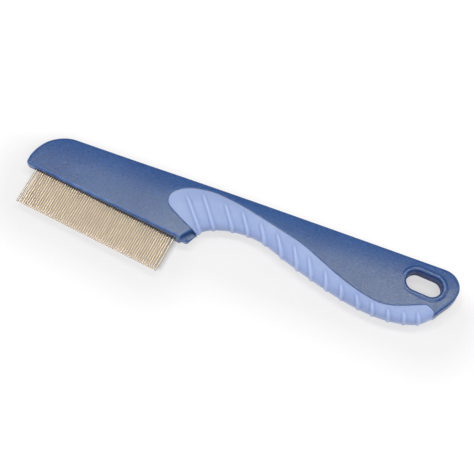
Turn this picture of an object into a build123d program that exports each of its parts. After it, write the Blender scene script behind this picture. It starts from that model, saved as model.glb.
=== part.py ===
from build123d import *
import math
import os

# ---------------------------------------------------------------------------
# Flea comb: a one-piece moulded handle and head, a soft overmoulded grip, and
# a row of straight steel pins held in a folded steel strip.
#
# Frame, millimetres.  Origin: centre of the hang slot at mid thickness.
# +X runs along the straight back (spine) towards the handle end, +Y towards
# the spine (the pins point to -Y), +Z is the normal of the front face.
# The comb is the same front and back, so the XY plane is a mirror plane.
# ---------------------------------------------------------------------------

# --- pin row ----------------------------------------------------------------
ROW_ANGLE = -6.92         # row direction against the spine, degrees
ROW_X, ROW_Y = -133.40, -12.44   # middle of the row on the head's lower edge

TOOTH_COUNT = 65          # thin pins
TOOTH_PITCH = 0.97
TOOTH_D = 0.66
TOOTH_OUT = 15.9          # pin length that shows below the head's lower edge
TOOTH_TIP_R = 0.24
GUARD_D = 0.92            # thicker pin at each end of the row
GUARD_GAP = 1.32          # guard pin axis to nearest thin pin axis
GUARD_TIP_R = 0.34
GUARD_IN = 7.0            # guard pin length held above the mouth

MOUTH_DEPTH = 1.3         # open recess above the pins, in the lower edge
MOUTH_H = 2.3             # height of that recess through the thickness
MOUTH_END_GAP = 0.35      # recess end beyond the side of the guard pin
STRIP_WALL = 0.5          # folded strip sheet
STRIP_H = 9.0
STRIP_L = 63.4
FOLD_R = 0.45             # outer rounding of the fold
PIN_IN_STRIP = 5.0        # pin length held in the strip
POST_D = 2.6              # moulded posts that lock the strip
POST_COUNT = 5
POST_GAP = 0.4            # thin pin root to post

ROW_HALF = (TOOTH_COUNT - 1) / 2 * TOOTH_PITCH
GUARD_AT = ROW_HALF + GUARD_GAP
STRIP_T = TOOTH_D + 2 * STRIP_WALL
POST_AT = MOUTH_DEPTH + PIN_IN_STRIP + POST_GAP + POST_D / 2
# row frame: local x along the row, local y into the head, z up
ROW = Pos(ROW_X, ROW_Y, 0) * Rot(0, 0, ROW_ANGLE)

# --- hang slot --------------------------------------------------------------
SLOT_L, SLOT_W = 14.8, 8.2       # end to end and across
SLOT_ANGLE = -4.0
SLOT_EDGE_R = 0.95
RIM_W, RIM_H = 1.75, 3.72 # raised rim: width around the slot, half thickness
RIM_EDGE_R = 0.6

# --- handle and head --------------------------------------------------------
SPINE_Y = 9.15            # straight back edge
NOSE_X = -170.50          # far end of the head
NOSE_LEAN = 0.04          # X change per mm of Y at the bottom of the nose
HEEL_X = -95.35           # lowest corner of the heel, on the pin row line
CORNER_R = 1.3            # plan rounding of the nose and heel corners
EDGE_R = 0.9              # rounding of the face edges

# crowned slab: half thickness at each x station, on three lines of constant y
SLAB_SPINE_Y, SLAB_CROWN_Y, SLAB_LOW_Y = 12, -2, -24
# x, on the crown line, at the spine side, at the lower side
STATIONS = [
    (-176.0, 2.35, 1.95, 2.30),
    (-150.0, 2.55, 2.10, 2.45),
    (-125.0, 3.05, 2.45, 2.90),
    (-106.0, 3.80, 2.95, 3.55),
    (-88.0, 4.25, 3.25, 4.00),
    (-62.0, 4.35, 3.35, 4.05),
    (-32.0, 4.05, 3.20, 3.80),
    (-8.0, 3.55, 2.95, 3.35),
    (19.0, 3.05, 2.60, 2.85),
]

# Plan outlines, as (x, y) points.
# nose, from the spine down to the lower edge
NOSE = [
    (-154.60, SPINE_Y), (-157.40, 8.90), (-159.90, 8.20), (-162.15, 7.13),
    (-164.25, 5.73), (-166.07, 4.08), (-167.57, 2.10), (-168.80, -0.12),
    (-169.75, -2.53), (-170.30, -5.10),
]
# lower outline of the grip, from the heel to the handle end
GRIP_LOW = [
    (-92.55, -11.50), (-90.80, -9.45), (-88.10, -7.90), (-82.20, -5.95),
    (-75.80, -5.15), (-66.70, -5.95), (-59.55, -8.35), (-50.10, -11.55),
    (-37.70, -15.10), (-25.70, -17.80), (-16.50, -18.95), (-8.80, -18.95),
    (-1.60, -17.75), (2.80, -16.25), (5.85, -13.95), (8.35, -10.65),
]
# handle end, on from the last grip point to the spine
HANDLE_END = [
    (9.95, -8.00), (11.45, -5.80), (12.80, -3.50), (13.75, -1.05),
    (14.15, 1.35), (14.00, 3.20), (13.35, 4.90), (12.10, 6.65),
    (10.30, 8.10), (8.10, 8.92), (5.80, SPINE_Y),
]
# the heel's end wall is set back above and below a tongue at mid thickness
HEEL_TONGUE = 0.7         # half thickness of the tongue
HEEL_BACK = [(-100.80, -18.99), (-94.55, -10.98), (-91.00, -11.00), (-91.00, -18.99)]

# --- soft grip --------------------------------------------------------------
CORE_Z = 2.2              # half thickness of the web under the grip
CORE_IN = 2.3             # grip wall outside the web
GRIP_Z = 4.6              # half thickness of the grip between ribs
GRIP_EDGE_R = 3.1         # lower edge rounding between ribs
RIB_Z = 4.9               # half thickness of the grip over the ribs
RIB_EDGE_R = 2.2          # lower edge rounding over the ribs
RIB_W = 1.5
RIB_DEPTH = 0.4           # rib stand-off at the lower edge
RIB_SINK = 0.9            # rib bar start below the grip face
RIB_RAMP = 6.0            # length over which the rib bar rises
RIB_OVER = 0.4            # rib bar top above RIB_Z, trimmed off
RIB_RUN_OUT = 5.0         # rib bar length past its lower end, trimmed off
KEY_D = 4.0               # holes in the web that the grip flows through
KEYS = [(-101.0, -1.0), (-88.0, 0.6), (-72.0, 0.3), (-57.0, -3.5), (-40.0, -9.3)]

# grip faces in side view: flat in the middle, easing down at both ends
FACE_HEEL_X, FACE_FLAT_X1, FACE_FLAT_X2 = -114.0, -91.0, -49.0
FACE_MID_X, FACE_END_X = -20.0, 12.0
FACE_HEEL_DROP, FACE_MID_DROP, FACE_END_DROP = 0.75, 0.50, 1.30
FACE_HALF_WIDTH = 40

# edge of the soft grip on the faces, from the heel round to the handle end
LOBE = [
    (-92.85, -12.30), (-95.70, -11.15), (-101.00, -8.75), (-105.60, -6.20),
    (-108.45, -3.90), (-109.00, -1.65), (-108.35, 0.75), (-106.45, 2.75),
    (-102.85, 4.85), (-97.95, 6.10), (-92.75, 6.65), (-86.85, 6.25),
    (-79.75, 5.15), (-70.05, 2.95), (-60.35, 0.65), (-52.25, -1.40),
    (-41.30, -5.80), (-28.45, -10.90), (-19.45, -13.30), (-12.75, -13.90),
    (-6.15, -12.20), (-0.45, -9.80), (3.30, -8.10),
]
LOBE_END = [LOBE[-1], (5.70, -8.80), (7.45, -10.40), (7.75, -12.15)]
# closes the lobe outside the lower outline
LOBE_CLOSE = [(9.5, -24.0), (-70.0, -24.0), (-88.9, -14.2)]

# start of the grip's lower edge at the heel, before GRIP_LOW
LOW_START = (-94.05, -14.45)
# box that closes the band above the lower edge
BAND_X1, BAND_X2 = -112.0, 12.5
BAND_LOW_Y, BAND_TOP_Y = -9.0, 8.5

# ribs: upper end, lower end
RIBS = [
    ((-102.6, 1.6), (-95.0, -7.4)), ((-96.9, 5.0), (-87.1, -7.9)),
    ((-86.6, 3.7), (-79.8, -5.6)), ((-78.7, 2.8), (-72.7, -5.8)),
    ((-70.0, 0.8), (-65.1, -7.1)), ((-62.1, -1.3), (-57.3, -8.9)),
    ((-54.1, -3.6), (-49.7, -11.6)), ((-46.9, -6.1), (-43.1, -13.6)),
    ((-38.6, -9.7), (-35.9, -15.7)), ((-30.9, -12.7), (-28.9, -17.4)),
    ((-23.7, -14.7), (-21.4, -18.4)), ((-17.0, -15.2), (-15.3, -19.0)),
    ((-10.1, -15.9), (-8.5, -19.1)), ((-3.7, -15.1), (-2.4, -17.9)),
    ((1.6, -13.1), (3.1, -16.2)),
]

# --- construction -----------------------------------------------------------
TALL = 12.0               # half height of through cuts
OVERCUT = 2               # extra length of a cut that runs out of the part
NEAR = 0.01               # tolerance for picking edges and corners
UNIT = (1.0, 1.0)         # scale of the end tangents of a spline
FROM_BASE = (Align.CENTER, Align.CENTER, Align.MIN)


def only(shape):
    """The single solid of a result."""
    solids = shape.solids()
    assert len(solids) == 1, len(solids)
    return solids[0]


def prism(face, half):
    """The face made into a solid from -half to +half in z."""
    return Pos(0, 0, -half) * extrude(face, 2 * half)


def in_row(along, inward=0):
    """Place in the row frame."""
    return ROW * Pos(along, inward, 0)


def posts(height):
    """One cylinder per strip post."""
    spacing = STRIP_L / POST_COUNT
    return [in_row((i - (POST_COUNT - 1) / 2) * spacing, POST_AT)
            * Cylinder(POST_D / 2, height) for i in range(POST_COUNT)]


# --- handle and head --------------------------------------------------------
def crowned_slab():
    sections = []
    for x, crown, spine, low in STATIONS:
        # local x along +Y, local y along +Z
        plane = Plane(origin=(x, 0, 0), x_dir=(0, 1, 0), z_dir=(1, 0, 0))
        with BuildSketch(plane) as section:
            with BuildLine():
                ThreePointArc((SLAB_SPINE_Y, spine), (SLAB_CROWN_Y, crown), (SLAB_LOW_Y, low))
                Line((SLAB_LOW_Y, low), (SLAB_LOW_Y, -low))
                ThreePointArc((SLAB_LOW_Y, -low), (SLAB_CROWN_Y, -crown), (SLAB_SPINE_Y, -spine))
                Line((SLAB_SPINE_Y, -spine), (SLAB_SPINE_Y, spine))
            make_face()
        sections.append(section.sketch.face())
    return loft(sections)


def low_edge(x):
    """Y of the head's straight lower edge, which is the pin row line."""
    return ROW_Y + (x - ROW_X) * math.tan(math.radians(ROW_ANGLE))


def outer_face():
    nose_end = NOSE[-1]
    nose_low_x = nose_end[0] + NOSE_LEAN * (low_edge(NOSE_X) - nose_end[1])
    nose_low = (nose_low_x, low_edge(nose_low_x))
    nose_dir = (nose_low[0] - nose_end[0], nose_low[1] - nose_end[1])
    heel_low = (HEEL_X, low_edge(HEEL_X))
    heel_dir = (GRIP_LOW[0][0] - heel_low[0], GRIP_LOW[0][1] - heel_low[1])
    with BuildLine() as outline:
        Line(HANDLE_END[-1], NOSE[0])
        Spline(*NOSE, tangents=[(-1, 0), nose_dir], tangent_scalars=UNIT)
        Line(nose_end, nose_low)
        Line(nose_low, heel_low)
        Line(heel_low, GRIP_LOW[0])
        Spline(*GRIP_LOW, *HANDLE_END, tangents=[heel_dir, (-1, 0)], tangent_scalars=UNIT)
    face = make_face(outline.line)
    corners = [v for v in face.vertices()
               if min(math.dist((v.X, v.Y), nose_low), math.dist((v.X, v.Y), heel_low)) < NEAR]
    return fillet(corners, CORNER_R)


def slot_prism(margin, half):
    """The hang slot, grown by margin all round."""
    slot = SlotOverall(SLOT_L + 2 * margin, SLOT_W + 2 * margin)
    return prism(Rot(0, 0, SLOT_ANGLE) * slot, half)


def at_rim_face(edge):
    return abs(abs(edge.center().Z) - RIM_H) < NEAR


def at_slot_edge(edge):
    mid = edge.center()
    return (at_rim_face(edge) and math.hypot(mid.X, mid.Y) < SLOT_L / 2 + 0.2
            and abs(mid.Y) < SLOT_W / 2 + 0.8)


def make_body(lobe_prism, web):
    blank = prism(outer_face(), TALL) & crowned_slab()
    face_edges = blank.edges().filter_by(lambda e: abs(e.center().Z) > 1.6)
    blank = fillet(face_edges, EDGE_R)

    rim = slot_prism(RIM_W, RIM_H)
    rim = fillet(rim.edges().filter_by(at_rim_face), RIM_EDGE_R)
    body = blank + rim
    body = body - slot_prism(0, TALL)
    body = fillet(body.edges().filter_by(at_slot_edge), SLOT_EDGE_R)

    # the grip's place is cut out, then the thin web fills its middle
    body = body - lobe_prism
    heel_back = extrude(make_face(Polyline(*HEEL_BACK, close=True)), TALL)
    body = body - Pos(0, 0, HEEL_TONGUE) * heel_back - Pos(0, 0, -HEEL_TONGUE - TALL) * heel_back
    body = body + web

    mouth_l = 2 * (GUARD_AT + GUARD_D / 2 + MOUTH_END_GAP)
    mouth = (in_row(0, (MOUTH_DEPTH - OVERCUT) / 2)
             * Box(mouth_l, MOUTH_DEPTH + OVERCUT, MOUTH_H))
    pocket = in_row(0, MOUTH_DEPTH + STRIP_H / 2) * Box(STRIP_L, STRIP_H, STRIP_T)
    body = body - mouth - pocket
    bore = Rot(-90, 0, 0) * Cylinder(GUARD_D / 2, GUARD_IN + MOUTH_DEPTH, align=FROM_BASE)
    for side in (-1, 1):
        body = body - in_row(side * GUARD_AT) * bore
    for post in posts(STRIP_T):
        body = body + post
    return only(body)


# --- soft grip and the web under it -----------------------------------------
def make_lobe_prism():
    with BuildLine() as lobe:
        Spline(*LOBE)
        Spline(*LOBE_END)
        Polyline(LOBE_END[-1], *LOBE_CLOSE, LOBE[0])
    return prism(make_face(lobe.line), TALL)


def low_run(inset):
    """The grip's lower outline, moved into the material by inset."""
    run = [LOW_START] + GRIP_LOW + HANDLE_END[:3]
    points = []
    for i, (x, y) in enumerate(run):
        before = run[max(0, i - 1)]
        after = run[min(len(run) - 1, i + 1)]
        dx, dy = after[0] - before[0], after[1] - before[1]
        length = math.hypot(dx, dy)
        points.append((x - inset * dy / length, y + inset * dx / length))
    return points


def band_face(points):
    """Everything between a lower edge and the spine side."""
    with BuildLine() as edge:
        Spline(*points)
        Polyline(points[-1], (BAND_X2, points[-1][1] + 1.0), (BAND_X2, BAND_TOP_Y),
                 (BAND_X1, BAND_TOP_Y), (BAND_X1, BAND_LOW_Y), points[0])
    return make_face(edge.line)


def make_web(lobe_prism):
    web = prism(band_face(low_run(CORE_IN)), CORE_Z) & lobe_prism
    for x, y in KEYS:
        web = web - Pos(x, y, 0) * Cylinder(KEY_D / 2, 2 * TALL)
    return only(web)


def grip_slab(z):
    """The side view of the grip with half thickness z, run across in y."""
    heel_z, mid_z, end_z = z - FACE_HEEL_DROP, z - FACE_MID_DROP, z - FACE_END_DROP
    x1, x2 = FACE_FLAT_X1, FACE_FLAT_X2
    with BuildSketch(Plane.XZ) as side_view:
        with BuildLine():
            Spline((FACE_HEEL_X, heel_z), (x1, z),
                   tangents=[(1, 0.06), (1, 0)], tangent_scalars=UNIT)
            Line((x1, z), (x2, z))
            Spline((x2, z), (FACE_MID_X, mid_z), (FACE_END_X, end_z),
                   tangents=[(1, 0), (1, -0.03)], tangent_scalars=UNIT)
            Line((FACE_END_X, end_z), (FACE_END_X, -end_z))
            Spline((FACE_END_X, -end_z), (FACE_MID_X, -mid_z), (x2, -z),
                   tangents=[(-1, -0.03), (-1, 0)], tangent_scalars=UNIT)
            Line((x2, -z), (x1, -z))
            Spline((x1, -z), (FACE_HEEL_X, -heel_z),
                   tangents=[(-1, 0), (-1, 0.06)], tangent_scalars=UNIT)
            Line((FACE_HEEL_X, -heel_z), (FACE_HEEL_X, heel_z))
        make_face()
    return extrude(side_view.sketch, FACE_HALF_WIDTH, both=True)


def segment_gap(point, start, end):
    """Distance in plan from a point to a segment."""
    dx, dy = end[0] - start[0], end[1] - start[1]
    t = ((point.X - start[0]) * dx + (point.Y - start[1]) * dy) / (dx * dx + dy * dy)
    t = min(1.0, max(0.0, t))
    return math.hypot(point.X - start[0] - t * dx, point.Y - start[1] - t * dy)


def wrap(inset, z, radius, lobe_prism):
    """Grip blank with its lower edge inset from the outline.

    It is rounded along that edge only, then cut to the grip's own outline.
    """
    points = low_run(inset)
    solid = only(prism(band_face(points), z))
    low_edges = []
    for edge in solid.edges():
        mid = edge.position_at(0.5)
        gap = min(segment_gap(mid, p, q) for p, q in zip(points, points[1:]))
        if abs(mid.Z) > 2.4 and gap < 0.5 and abs(edge.tangent_at(0.5).Z) < 0.5:
            low_edges.append(edge)
    solid = fillet(low_edges, radius)
    return only(solid & grip_slab(z) & lobe_prism)


def rib_bar(top, low):
    """A bar along the rib, ramping up out of both grip faces."""
    length = math.dist(top, low) + RIB_RUN_OUT
    angle = math.degrees(math.atan2(low[1] - top[1], low[0] - top[0]))
    start_z, full_z = GRIP_Z - RIB_SINK, RIB_Z + RIB_OVER
    plane = Plane(origin=(0, RIB_W / 2, 0), x_dir=(1, 0, 0), z_dir=(0, -1, 0))
    with BuildSketch(plane) as profile:
        with BuildLine():
            Polyline((0, -start_z), (0, start_z), (RIB_RAMP, full_z), (length, full_z),
                     (length, -full_z), (RIB_RAMP, -full_z), (0, -start_z))
        make_face()
    bar = extrude(profile.sketch, RIB_W)
    return Pos(top[0], top[1], 0) * Rot(0, 0, angle) * bar


def make_grip(lobe_prism, web):
    grip = wrap(RIB_DEPTH, GRIP_Z, GRIP_EDGE_R, lobe_prism)
    rib_blank = wrap(0.0, RIB_Z, RIB_EDGE_R, lobe_prism)
    for top, low in RIBS:
        grip = grip + (rib_bar(top, low) & rib_blank)
    grip = only(grip)
    # the grip closes round the web and flows through its key holes
    return only(grip - web)


# --- folded strip and pins --------------------------------------------------
def make_strip():
    strip = Box(STRIP_L, STRIP_H, STRIP_T)
    gap = Box(STRIP_L + OVERCUT, STRIP_H - STRIP_WALL, TOOTH_D)
    strip = strip - Pos(0, -STRIP_WALL / 2, 0) * gap
    fold = [e for e in strip.edges() if abs(e.center().Y - STRIP_H / 2) < NEAR
            and abs(abs(e.center().Z) - STRIP_T / 2) < NEAR and e.length > 10]
    strip = fillet(fold, FOLD_R)
    strip = in_row(0, MOUTH_DEPTH + STRIP_H / 2) * strip
    for hole in posts(STRIP_T + OVERCUT):
        strip = strip - hole
    return only(strip)


def pin(diameter, inside, tip_r):
    """One straight wire, its shown end rounded, its root end square."""
    length = TOOTH_OUT + MOUTH_DEPTH + inside
    wire = Cylinder(diameter / 2, length, align=FROM_BASE)
    tip = wire.edges().filter_by(GeomType.CIRCLE).sort_by(Axis.Z)[0]
    wire = fillet(tip, tip_r)
    return Pos(0, -TOOTH_OUT, 0) * Rot(-90, 0, 0) * wire


def make_comb_pins():
    thin = pin(TOOTH_D, PIN_IN_STRIP, TOOTH_TIP_R)
    return Compound(children=[only(in_row(i * TOOTH_PITCH - ROW_HALF) * thin)
                              for i in range(TOOTH_COUNT)])


def make_guard(side):
    return only(in_row(side * GUARD_AT) * pin(GUARD_D, GUARD_IN, GUARD_TIP_R))


lobe_prism = make_lobe_prism()
web = make_web(lobe_prism)
pieces = {
    "handle_body": make_body(lobe_prism, web),
    "soft_grip": make_grip(lobe_prism, web),
    "pin_strip": make_strip(),
    "comb_pins": make_comb_pins(),
    "guard_pin_nose": make_guard(-1),
    "guard_pin_heel": make_guard(1),
}
os.makedirs("parts", exist_ok=True)
for name, piece in pieces.items():
    piece.label = name
    export_step(piece, f"parts/{name}.step")
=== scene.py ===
# Fine-pinned comb: a plastic handle and head, a soft grip under the handle, steel pins.
# It lies flat in the XY plane, its thickness along Z and centred on z = 0. The spine runs along
# +y, the pins point to -y, the nose of the head is at -x and the end of the handle at +x. The
# hang slot is centred on the origin. The heel is the end of the head next to the grip.
# Shapes are worked out in millimetres and scaled to metres when each mesh is made.
import math
import numpy as np
import bpy
import bmesh
from mathutils import Vector, Matrix
from mathutils.geometry import delaunay_2d_cdt


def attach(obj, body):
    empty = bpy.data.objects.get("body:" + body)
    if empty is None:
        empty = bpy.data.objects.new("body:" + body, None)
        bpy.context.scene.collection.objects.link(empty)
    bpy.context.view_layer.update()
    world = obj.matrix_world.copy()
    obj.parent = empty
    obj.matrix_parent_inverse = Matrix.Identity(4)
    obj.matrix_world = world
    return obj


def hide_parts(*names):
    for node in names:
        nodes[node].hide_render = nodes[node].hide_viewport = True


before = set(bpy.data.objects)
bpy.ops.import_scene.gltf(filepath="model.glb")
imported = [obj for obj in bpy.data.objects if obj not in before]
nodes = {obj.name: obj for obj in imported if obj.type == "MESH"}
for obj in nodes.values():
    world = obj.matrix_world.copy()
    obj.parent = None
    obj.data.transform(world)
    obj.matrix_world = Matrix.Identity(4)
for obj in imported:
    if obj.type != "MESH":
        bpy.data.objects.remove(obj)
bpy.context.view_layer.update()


MM = 0.001

# ---------------------------------------------------------------------------
# Dimensions, millimetres
# ---------------------------------------------------------------------------
# Pin row along the lower edge of the head
ROW_ANGLE = math.radians(-6.92)
ROW = np.array([-133.40, -12.44])                                # middle of the row
ALONG_ROW = np.array([math.cos(ROW_ANGLE), math.sin(ROW_ANGLE)])
INTO_HEAD = np.array([-math.sin(ROW_ANGLE), math.cos(ROW_ANGLE)])
PITCH, TEETH = 0.97, 65
GUARD_GAP, GUARD_D = 1.32, 0.92                                  # thicker pin at each row end
GUARD_AT = (TEETH - 1) / 2 * PITCH + GUARD_GAP
BORE_R, BORE_DEPTH, BORE_SIDES = 0.47, 8.3, 16

# Recess around the pin roots, and the pocket for the pin strip in its floor
MOUTH_HALF = GUARD_AT + GUARD_D / 2 + 0.35
MOUTH_DEPTH, MOUTH_Z = 1.3, 1.15
STRIP_HALF, STRIP_Z, STRIP_DEPTH = 31.7, 0.83, 9.0

# Hang slot: length, width, turn, half thickness of the body around it
SLOT_L, SLOT_W, SLOT_ANGLE, SLOT_Z = 14.8, 8.2, math.radians(-4.0), 3.66

# Web of the body inside the grip: half thickness, distance in from the underside
CORE_Z, CORE_IN = 2.2, 2.3

# Body outline
SPINE_Y = 9.15
NOSE_LOW_X, HEEL_X = -170.42, -95.35        # lower corners of the head, on the row line
CORNER_R, BACK_CORNER_R = 1.3, 0.8
EDGE, CRISP_EDGE, SEAM_EDGE = 0.85, 0.45, 0.16    # edge roundings
SLOT_EDGE = (1.0, 1.15)                     # across, down
HEEL_BACK = [(-98.95, -16.62), (-94.92, -11.45)]  # corner and end of the set-back faces
BACK_BLEND = 7.0                            # seam length over which the set-back fades
TONGUE, TONGUE_FILLET = 0.7, 0.35           # half thickness of the heel below the set-back
# rows round the tongue: share of the set-back, height over TONGUE
TONGUE_ROWS = ((0.93, 0.10), (0.80, 0.01), (0.09, -0.04), (0.0, -0.30))
FINE = 0.05                                 # step of curves before they are cut

# Half thickness of the body: x, then at each y of CROWN_Y
CROWN_Y = (-2.0, 12.0, -24.0)
STATIONS = np.array([
    (-176.0, 2.35, 1.95, 2.30), (-150.0, 2.55, 2.10, 2.45), (-125.0, 3.05, 2.45, 2.90),
    (-106.0, 3.80, 2.95, 3.55), (-88.0, 4.25, 3.25, 4.00), (-62.0, 4.35, 3.35, 4.05),
    (-32.0, 4.05, 3.20, 3.80), (-8.0, 3.55, 2.95, 3.35), (19.0, 3.05, 2.60, 2.85)])

# Outline points (x, y): underside of the grip, from the heel towards the handle end
GRIP_LOW = [
    (-92.55, -11.50), (-90.80, -9.45), (-88.10, -7.90), (-82.20, -5.95),
    (-75.80, -5.15), (-66.70, -5.95), (-59.55, -8.35), (-50.10, -11.55),
    (-37.70, -15.10), (-25.70, -17.80), (-16.50, -18.95), (-8.80, -18.95),
    (-1.60, -17.75), (2.80, -16.25), (5.85, -13.95), (8.35, -10.65)]
# round the end of the handle, up to the spine
HANDLE_END = [
    (9.95, -8.00), (11.45, -5.80), (12.80, -3.50),
    (13.75, -1.05), (14.15, 1.35), (14.00, 3.20), (13.35, 4.90),
    (12.10, 6.65), (10.30, 8.10), (8.10, 8.92), (5.80, SPINE_Y)]
# from the spine down round the nose
NOSE = [
    (-154.60, SPINE_Y), (-157.40, 8.90), (-159.90, 8.20), (-162.15, 7.13),
    (-164.25, 5.73), (-166.07, 4.08), (-167.57, 2.10), (-168.80, -0.12),
    (-169.75, -2.53), (-170.30, -5.10)]
# upper edge of the grip, from the heel to near the handle end, and its turn down there
LOBE = [
    (-92.85, -12.30), (-95.70, -11.15), (-101.00, -8.75), (-105.60, -6.20),
    (-108.45, -3.90), (-109.00, -1.65), (-108.35, 0.75), (-106.45, 2.75),
    (-102.85, 4.85), (-97.95, 6.10), (-92.75, 6.65), (-86.85, 6.25),
    (-79.75, 5.15), (-70.05, 2.95), (-60.35, 0.65), (-52.25, -1.40),
    (-41.30, -5.80), (-28.45, -10.90), (-19.45, -13.30), (-12.75, -13.90),
    (-6.15, -12.20), (-0.45, -9.80), (3.30, -8.10)]
LOBE_END = [(3.30, -8.10), (5.70, -8.80), (7.45, -10.40), (7.75, -12.15)]

# Grip ribs: upper end (x, y), lower end (x, y)
RIBS = [
    ((-102.6, 1.6), (-95.0, -7.4)), ((-96.9, 5.0), (-87.1, -7.9)),
    ((-86.6, 3.7), (-79.8, -5.6)), ((-78.7, 2.8), (-72.7, -5.8)),
    ((-70.0, 0.8), (-65.1, -7.1)), ((-62.1, -1.3), (-57.3, -8.9)),
    ((-54.1, -3.6), (-49.7, -11.6)), ((-46.9, -6.1), (-43.1, -13.6)),
    ((-38.6, -9.7), (-35.9, -15.7)), ((-30.9, -12.7), (-28.9, -17.4)),
    ((-23.7, -14.7), (-21.4, -18.4)), ((-17.0, -15.2), (-15.3, -19.0)),
    ((-10.1, -15.9), (-8.5, -19.1)), ((-3.7, -15.1), (-2.4, -17.9)),
    ((1.6, -13.1), (3.1, -16.2))]
BETWEEN = 0.34                              # inset of the underside between ribs
RIB_HIGH, RIB_LOW, RIB_SIDE = 0.52, 0.42, 0.29    # height on the face, near the edge, on it
# Rib profile, distances across the rib
RIB_RISE, RIB_FALL = (-0.85, -0.15), (0.20, 1.00)
CREASES = ((-1.02, 1.0), (1.18, 0.6))       # place, relative depth
CREASE_WIDTH, CREASE_DEPTH = 0.36, 0.30


# ---------------------------------------------------------------------------
# Plane geometry
# ---------------------------------------------------------------------------
def run_lengths(path):
    """Length along a polyline at each of its points."""
    return np.concatenate([[0], np.cumsum(np.hypot(*np.diff(path, axis=0).T))])


def at_lengths(wanted, lengths, path):
    """Points on the polyline at the wanted lengths."""
    return np.stack([np.interp(wanted, lengths, path[:, k]) for k in (0, 1)], 1)


def resample(path, step):
    lengths = run_lengths(path)
    count = max(1, int(round(lengths[-1] / step)))
    return at_lengths(np.linspace(0, lengths[-1], count + 1), lengths, path)


def cubic(knots, gaps, values, start=None, end=None, hold=0.0):
    """Function for the cubic spline through the rows of values. Its end slopes are start and
    end; without one, the second derivative there is hold times the neighbour's."""
    count = len(knots)
    matrix = np.zeros((count, count))
    target = np.zeros(values.shape)
    for i in range(1, count - 1):
        before, after = gaps[i - 1], gaps[i]
        matrix[i, i - 1:i + 2] = before, 2 * (before + after), after
        target[i] = 6 * ((values[i + 1] - values[i]) / after - (values[i] - values[i - 1]) / before)
    matrix[0, :2] = 1, -hold
    matrix[-1, -2:] = -hold, 1
    if start is not None:
        matrix[0, :2] = 2 * gaps[0], gaps[0]
        target[0] = 6 * ((values[1] - values[0]) / gaps[0] - start)
    if end is not None:
        matrix[-1, -2:] = gaps[-1], 2 * gaps[-1]
        target[-1] = 6 * (end - (values[-1] - values[-2]) / gaps[-1])
    bend = np.linalg.solve(matrix, target)

    def curve(wanted):
        wanted = np.clip(wanted, knots[0], knots[-1])
        i = np.clip(np.searchsorted(knots, wanted, side="right") - 1, 0, count - 2)
        gap = gaps[i][:, None]
        past = (wanted - knots[i])[:, None]
        left = gap - past
        return (bend[i] * left ** 3 + bend[i + 1] * past ** 3) / (6 * gap) + \
            (values[i] / gap - bend[i] * gap / 6) * left + \
            (values[i + 1] / gap - bend[i + 1] * gap / 6) * past
    return curve


def unit(vector):
    return np.array(vector, float) / np.hypot(*vector)


def spline(points, step, start=None, end=None):
    """Points every step along the spline through points, with end directions where given."""
    points = np.array(points, float)
    gaps = np.hypot(*np.diff(points, axis=0).T)
    knots = run_lengths(points)
    start = None if start is None else unit(start)
    end = None if end is None else unit(end)
    curve = cubic(knots, gaps, points, start, end, hold=1.0)
    return resample(curve(np.linspace(0, knots[-1], 60 * len(points))), step)


def corner_arc(before, corner, after, radius, step):
    """Rounding of the corner on the way from before to after."""
    before, corner, after = (np.array(v, float) for v in (before, corner, after))
    back, ahead = unit(before - corner), unit(after - corner)
    half = math.acos(float(np.clip(back @ ahead, -1, 1))) / 2
    reach = radius / math.tan(half)
    centre = corner + (back + ahead) / np.hypot(*(back + ahead)) * radius / math.sin(half)
    first, last = corner + back * reach - centre, corner + ahead * reach - centre
    angle = math.atan2(first[1], first[0])
    sweep = (math.atan2(last[1], last[0]) - angle + math.pi) % (2 * math.pi) - math.pi
    count = max(3, int(abs(sweep) * radius / step))
    share = np.linspace(0, 1, count + 1)
    angles = angle + sweep * share
    return centre + radius * np.stack([np.cos(angles), np.sin(angles)], 1)


def normals_of(path, closed=True):
    """Unit normals to the left of the direction of travel."""
    if closed:
        ahead = np.roll(path, -1, 0) - np.roll(path, 1, 0)
    else:
        ahead = np.gradient(path, axis=0)
    ahead /= np.maximum(np.hypot(*ahead.T), 1e-9)[:, None]
    return np.stack([-ahead[:, 1], ahead[:, 0]], 1)


def inside(loop, points):
    """Which points lie inside the closed loop."""
    x, y = points[:, 0], points[:, 1]
    result = np.zeros(len(points), bool)
    for (x0, y0), (x1, y1) in zip(loop, np.roll(loop, -1, 0)):
        if y0 != y1:
            result ^= ((y0 > y) != (y1 > y)) & (x < (x1 - x0) * (y - y0) / (y1 - y0) + x0)
    return result


def distance_to(path, points, closed=False, chunk=4000):
    """Distance from each point to a polyline, worked out in chunks to save memory."""
    start = path if closed else path[:-1]
    side = (np.roll(path, -1, 0) if closed else path[1:]) - start
    square = np.maximum((side ** 2).sum(1), 1e-12)
    result = np.empty(len(points))
    for k in range(0, len(points), chunk):
        offset = points[k:k + chunk][:, None] - start
        share = np.clip((offset * side).sum(2) / square, 0, 1)
        offset = offset - share[..., None] * side
        result[k:k + chunk] = np.sqrt((offset ** 2).sum(2).min(1))
    return result


def nearest(path, point):
    """Index of the path point nearest to point."""
    return int(np.hypot(*(path - point).T).argmin())


def crossing(path, other):
    """First crossing of two polylines: segment of path, segment of other, point."""
    other_side = other[1:] - other[:-1]
    for i in range(len(path) - 1):
        side = path[i + 1] - path[i]
        cross = side[0] * other_side[:, 1] - side[1] * other_side[:, 0]
        gap = other[:-1] - path[i]
        with np.errstate(divide="ignore", invalid="ignore"):
            share = (gap[:, 0] * other_side[:, 1] - gap[:, 1] * other_side[:, 0]) / cross
            other_share = (gap[:, 0] * side[1] - gap[:, 1] * side[0]) / cross
        hits = np.where((share >= 0) & (share <= 1) & (other_share >= 0) & (other_share <= 1))[0]
        if len(hits):
            return i, hits[0], path[i] + share[hits[0]] * side
    raise ValueError("the curves do not cross")


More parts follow.
